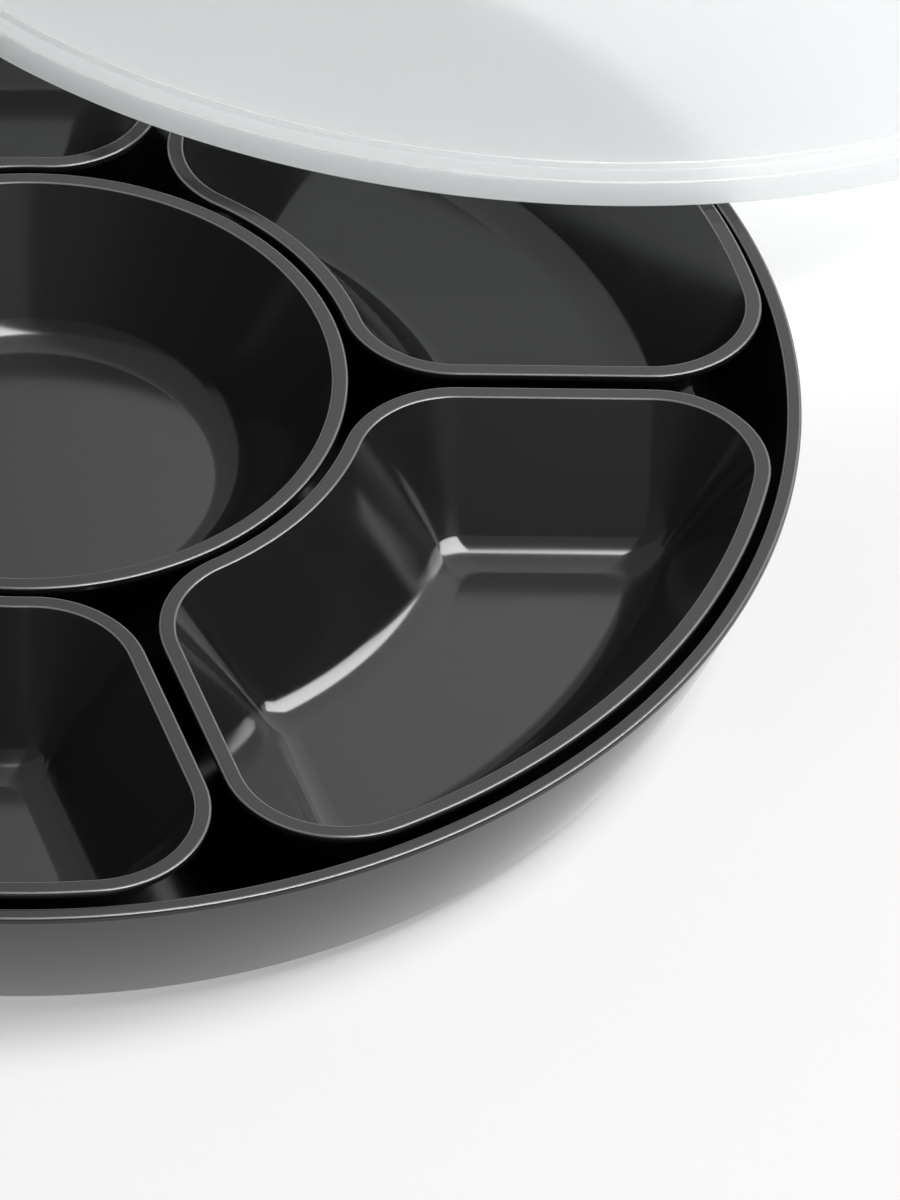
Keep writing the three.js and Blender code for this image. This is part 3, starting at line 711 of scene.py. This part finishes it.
def sector_bowl_rings(bowls):
    """A sector bowl whose middle points along +X: at each row of the section, the sector outline
    shrunk by that row's inset."""
    section = bowl_section(bowls)
    outline = sector_outline(section[:, 0], bowls)
    height = np.broadcast_to(section[:, 1, None, None] + bowls.seat, (*outline.shape[:2], 1))
    return np.concatenate([outline, height], axis=-1)


def cover_rings(cover, around):
    """The cover, revolved, with its lower edge at height 0: skirt, shoulder, step and flat panel."""
    skirt_top = cover.radius - cover.draft
    shoulder_top = cover.skirt + cover.rise
    panel_edge = skirt_top - cover.shoulder
    round_up = 0.3 * MM
    under = cover.height - cover.panel
    corners = np.array(
        [
            [0, under, 0],
            [panel_edge - cover.wall, under, 0.4 * MM],
            [panel_edge - cover.wall, shoulder_top - cover.wall + round_up, 0.4 * MM],
            [skirt_top - cover.wall, cover.skirt - cover.wall, 0.6 * MM],
            [cover.radius - cover.wall, 0, 0.25 * MM],
            [cover.radius, 0, 0.35 * MM],
            [skirt_top, cover.skirt, 0.6 * MM],
            [panel_edge, shoulder_top, 0.35 * MM],
            [panel_edge - STEP_LEAN, cover.height, 0.6 * MM],
            [0, cover.height, 0],
        ]
    )
    return spun(divided(rounded(corners), 6 * MM), around)


def cover_place(cover):
    """Tips the cover about the level line through its middle, sets its far edge on the table and turns
    it to its direction."""
    drop = TABLE_Z + cover.seat + cover.radius * math.sin(cover.slope)
    tipped = Matrix.Rotation(cover.slope, 4, "Y")
    moved = Matrix.Translation((cover.offset, 0, drop))
    return Matrix.Rotation(cover.turn, 4, "Z") @ moved @ tipped


# Operators, one for each piece or group of like pieces.


class SERVING_OT_tray(Operator):
    """Builds the tray with its rim, lip, bulged wall and the race under its floor"""

    bl_idname = "serving.tray"
    bl_label = "Tray"

    def execute(self, context):
        settings = context.scene.serving_set
        points, faces = skin(tray_rings(settings.tray, settings.around), closed=True)
        gloss = finish_of(settings, "dark_gloss_plastic")
        edge = on_rim(points, settings.tray.top, settings.tray.rim_round)
        slot = "gloss_dark_plastic"
        new_piece("tray_moulding", points, faces, gloss, "tray", slot, "tray", edge=edge)
        return {"FINISHED"}


class SERVING_OT_round_bowl(Operator):
    """Builds the round bowl in the middle"""

    bl_idname = "serving.round_bowl"
    bl_label = "Round Bowl"

    def execute(self, context):
        settings = context.scene.serving_set
        points, faces = skin(round_bowl_rings(settings.bowls, settings.around))
        gloss = finish_of(settings, "dark_gloss_plastic")
        bowls = settings.bowls
        edge = on_rim(points, bowls.seat + bowls.height, bowls.rim_round)
        node, slot = "centre_bowl", "gloss_dark_plastic"
        new_piece("centre_bowl_moulding", points, faces, gloss, node, slot, node, edge=edge)
        return {"FINISHED"}


class SERVING_OT_sector_bowls(Operator):
    """Builds the five sector bowls round it"""

    bl_idname = "serving.sector_bowls"
    bl_label = "Sector Bowls"

    def execute(self, context):
        settings = context.scene.serving_set
        bowls = settings.bowls
        points, faces = skin(sector_bowl_rings(bowls))
        edge = on_rim(points, bowls.seat + bowls.height, bowls.rim_round)
        gloss = finish_of(settings, "dark_gloss_plastic")
        slot = "gloss_dark_plastic"
        for i in range(SECTOR_BOWLS):
            turn = Matrix.Rotation(bowls.turn + 2 * math.pi * i / SECTOR_BOWLS, 4, "Z")
            node = f"sector_bowl_{i + 1}"
            moved = placed(points, turn)
            new_piece(f"{node}_moulding", moved, faces, gloss, node, slot, node, edge=edge)
        return {"FINISHED"}


class SERVING_OT_cover(Operator):
    """Builds the frosted cover that leans on the bowls"""

    bl_idname = "serving.cover"
    bl_label = "Cover"

    def execute(self, context):
        settings = context.scene.serving_set
        cover = settings.cover
        points, faces = skin(cover_rings(cover, settings.around))
        moved = placed(points, cover_place(cover))
        skirt_top = cover.radius - cover.draft
        step = skirt_top - cover.shoulder - STEP_LEAN
        corners = [
            [cover.radius, 0, 0.35 * MM],
            [skirt_top, cover.skirt, 0.6 * MM],
            [step, cover.height, 0.6 * MM],
        ]
        edge = on_corners(points, np.array(corners))
        frost = finish_of(settings, "frosted_cover_plastic")
        slot = "frosted_plastic"
        new_piece("cover_moulding", moved, faces, frost, "cover", slot, "cover", edge=edge)
        return {"FINISHED"}


class SERVING_OT_turntable(Operator):
    """Gives the turntable base, feet, washer, screw and ball ring their finishes"""

    bl_idname = "serving.turntable"
    bl_label = "Turntable"

    def execute(self, context):
        settings = context.scene.serving_set
        finishes = {
            "base_plate": "dark_satin_plastic",
            "rubber_foot": "black_foot_rubber",
            "retaining_washer": "bright_turned_steel",
            "pivot_screw": "bright_turned_steel",
            "ball_cage": "natural_nylon_plastic",
            "race_ball": "bright_turned_steel",
        }
        for name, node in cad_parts.items():
            for start, finish in finishes.items():
                if name.startswith(start):
                    for place in node.material_slots:
                        place.material = finish_of(settings, finish)
        return {"FINISHED"}


class SERVING_OT_stage(Operator):
    """Builds the floor, the lamps, the surroundings that gloss shows, and the camera"""

    bl_idname = "serving.stage"
    bl_label = "Stage"

    def execute(self, context):
        scene = context.scene
        studio = scene.serving_set.studio
        scene.view_settings.view_transform = "Standard"
        self.floor(scene, studio)
        self.surroundings(scene, studio)
        self.lamp(scene, "key_lamp", studio.key, studio.key_place, studio.key_size)
        self.lamp(scene, "fill_lamp", studio.fill, studio.fill_place, studio.fill_size)
        self.camera(scene)
        return {"FINISHED"}

    def floor(self, scene, studio):
        side = 6.0
        x, y = np.meshgrid([-side, side], [-side, side])
        points = np.stack([x.ravel(), y.ravel(), np.full(4, TABLE_Z)], axis=-1)
        mesh = bpy.data.meshes.new("studio_floor")
        mesh.from_pydata(points, [], [(0, 1, 3, 2)])
        material, nodes = new_material("pale_studio_floor")
        where = nodes.add("ShaderNodeTexCoord").outputs["Object"]
        paper = nodes.noise(3.0, 2.0, where)
        colour = tuple(studio.floor_colour)
        tint = nodes.ramp(paper, (0.3, shade(colour, 0.995)), (0.7, colour))
        shader = nodes.add("ShaderNodeBsdfPrincipled", {"Base Color": tint, "Roughness": 0.9})
        shader.inputs["Specular IOR Level"].default_value = 0.1
        white = nodes.add("ShaderNodeEmission", {"Strength": 1.0})
        white.inputs["Color"].default_value = (1, 1, 1, 1)
        rays = nodes.add("ShaderNodeLightPath")
        seen = nodes.maths(
            "MAXIMUM", rays.outputs["Is Camera Ray"], rays.outputs["Is Transmission Ray"]
        )
        lift = nodes.maths("MULTIPLY", seen, studio.floor_glow)
        mirrored = nodes.maths("MULTIPLY", rays.outputs["Is Glossy Ray"], studio.floor_shine)
        lift = nodes.maths("MAXIMUM", lift, mirrored)
        whole = nodes.add(
            "ShaderNodeMixShader", {0: lift, 1: shader.outputs["BSDF"], 2: white.outputs[0]}
        )
        nodes.add("ShaderNodeOutputMaterial", {"Surface": whole.outputs[0]})
        mesh.materials.append(material)
        floor = bpy.data.objects.new("studio_floor", mesh)
        scene.collection.objects.link(floor)

    def surroundings(self, scene, studio):
        """White for the camera, even light on what is dull, and for gloss a studio that is dark in
        front, with a wall behind the set and a ceiling, both paler on the right, and a bright panel.

        With (x, y, z) the direction, the ceiling and the panel are laid out on the level plane z = 1,
        where the direction meets it at (x / z, y / z). The panel is a rectangle on that plane, turned
        about its middle, and its brightness falls to the right."""
        world = bpy.data.worlds.new("studio_surroundings")
        world.use_nodes = True
        scene.world = world
        nodes = Nodes(world.node_tree)
        direction = nodes.add("ShaderNodeTexCoord").outputs["Generated"]
        parts = nodes.add("ShaderNodeSeparateXYZ", {"Vector": direction})
        x, y, z = (parts.outputs[k] for k in range(3))
        above = nodes.maths("MAXIMUM", z, 0.05)  # keeps the division finite near the horizon
        across, along = nodes.maths("DIVIDE", x, above), nodes.maths("DIVIDE", y, above)
        right = nodes.smooth(across, -0.15, 0.08)
        overhead = nodes.smooth(z, 0.46, 0.54)
        behind, over_table = nodes.smooth(y, 0.1, 0.3), nodes.smooth(z, 0.1, 0.25)
        front_share = 0.5  # of the ceiling's brightness, in front of the set
        near = nodes.spread(nodes.smooth(along, -0.5, -0.25), 0, 1, front_share, 1)
        ceiling = nodes.spread(right, 0, 1, studio.ceiling_left, studio.ceiling)
        ceiling = nodes.product(ceiling, near, overhead)
        wall = nodes.spread(right, 0, 1, studio.wall_left, studio.wall)
        wall = nodes.product(wall, behind, over_table)
        shine = nodes.maths("MAXIMUM", ceiling, wall)
        flat = nodes.add("ShaderNodeCombineXYZ", {0: across, 1: along}).outputs[0]
        laid = nodes.add(
            "ShaderNodeMapping",
            {
                "Vector": flat,
                "Location": (*studio.panel_middle, 0),
                "Rotation": (0, 0, studio.panel_turn),
                "Scale": (studio.panel_long / 2, studio.panel_short / 2, 1),
            },
            vector_type="TEXTURE",
        ).outputs[0]
        sides = nodes.add("ShaderNodeSeparateXYZ", {"Vector": laid})
        long_edge, short_edge = studio.panel_edge, 2 * studio.panel_edge
        aside, ahead = (nodes.maths("ABSOLUTE", sides.outputs[k], 0) for k in range(2))
        right_end = studio.panel * (1 - studio.panel_fall)
        panel = nodes.product(
            nodes.smooth(aside, 1 + long_edge, 1 - long_edge),
            nodes.smooth(ahead, 1 + short_edge, 1 - short_edge),
            nodes.spread(across, 0, studio.panel_long, studio.panel, right_end),
            nodes.smooth(z, 0.05, 0.1),
        )
        shine = nodes.maths("ADD", shine, panel)
        shine = nodes.maths("MAXIMUM", shine, studio.front)
        rays = nodes.add("ShaderNodeLightPath")
        dull = nodes.add("ShaderNodeBackground", {"Strength": studio.sky})
        shown = nodes.add("ShaderNodeBackground", {"Strength": shine})
        white = nodes.add("ShaderNodeBackground", {"Strength": 1.0})
        for light in (dull, shown, white):
            light.inputs["Color"].default_value = (1, 1, 1, 1)
        gloss = nodes.add(
            "ShaderNodeMixShader",
            {0: rays.outputs["Is Glossy Ray"], 1: dull.outputs[0], 2: shown.outputs[0]},
        )
        through = nodes.maths(
            "MAXIMUM", rays.outputs["Is Camera Ray"], rays.outputs["Is Transmission Ray"]
        )
        seen = nodes.add("ShaderNodeMixShader", {0: through, 1: gloss.outputs[0], 2: white.outputs[0]})
        nodes.add("ShaderNodeOutputWorld", {"Surface": seen.outputs[0]})

    def lamp(self, scene, name, power, place, side):
        """A square lamp that faces the set. Gloss shows the panel of the surroundings in its place."""
        data = bpy.data.lights.new(name, "AREA")
        data.shape = "SQUARE"
        data.size = side
        data.energy = power
        lamp = bpy.data.objects.new(name, data)
        lamp.location = place
        lamp.rotation_mode = "QUATERNION"
        lamp.rotation_quaternion = Vector(place).to_track_quat("Z", "Y")
        lamp.visible_glossy = False
        scene.collection.objects.link(lamp)

    def camera(self, scene):
        """The camera: yaw a to the right, pitch b down and a roll r, all fitted to the rim and cover."""
        yaw, pitch, roll = 0.06082296, 0.72637067, math.radians(-1.95)
        place, focal_length, sensor = (0, -1.551844, 1.359291), 278.244, 36
        sin_a, cos_a = math.sin(yaw), math.cos(yaw)
        sin_b, cos_b = math.sin(pitch), math.cos(pitch)
        ahead = np.array([sin_a * cos_b, cos_a * cos_b, -sin_b])
        level = np.array([cos_a, -sin_a, 0])
        upward = np.cross(level, ahead)
        right = math.cos(roll) * level - math.sin(roll) * upward
        up = math.sin(roll) * level + math.cos(roll) * upward
        turned = np.eye(4)
        turned[:3, 0], turned[:3, 1], turned[:3, 2] = right, up, -ahead
        turned[:3, 3] = place
        data = bpy.data.cameras.new("studio_camera")
        data.sensor_fit = "AUTO"
        data.sensor_width = sensor
        data.lens = focal_length
        data.clip_start, data.clip_end = 0.05, 50
        camera = bpy.data.objects.new("studio_camera", data)
        camera.matrix_world = Matrix(turned.tolist())
        scene.collection.objects.link(camera)
        scene.camera = camera


class SERVING_PT_panel(Panel):
    """Lists the operators and the sizes of the serving set"""

    bl_idname = "SERVING_PT_panel"
    bl_label = "Serving Set"
    bl_space_type = "VIEW_3D"
    bl_region_type = "UI"
    bl_category = "Serving Set"

    def draw(self, context):
        settings = context.scene.serving_set
        for operator in OPERATORS:
            self.layout.operator(operator.bl_idname)
        self.layout.prop(settings, "around")
        for group in (settings.tray, settings.bowls, settings.cover, settings.finish, settings.studio):
            box = self.layout.box()
            for name in group.__annotations__:
                box.prop(group, name)


OPERATORS = (
    SERVING_OT_tray,
    SERVING_OT_round_bowl,
    SERVING_OT_sector_bowls,
    SERVING_OT_cover,
    SERVING_OT_turntable,
    SERVING_OT_stage,
)
GROUPS = (
    SERVING_PG_tray,
    SERVING_PG_bowls,
    SERVING_PG_cover,
    SERVING_PG_finish,
    SERVING_PG_studio,
    SERVING_PG_set,
)


def register():
    for group in (*GROUPS, *OPERATORS, SERVING_PT_panel):
        bpy.utils.register_class(group)
    bpy.types.Scene.serving_set = PointerProperty(type=SERVING_PG_set)


def unregister():
    del bpy.types.Scene.serving_set
    for group in reversed((*GROUPS, *OPERATORS, SERVING_PT_panel)):
        bpy.utils.unregister_class(group)


def main():
    register()
    for operator in OPERATORS:
        group, name = operator.bl_idname.split(".")
        getattr(getattr(bpy.ops, group), name)()


if __name__ == "__main__":
    main()
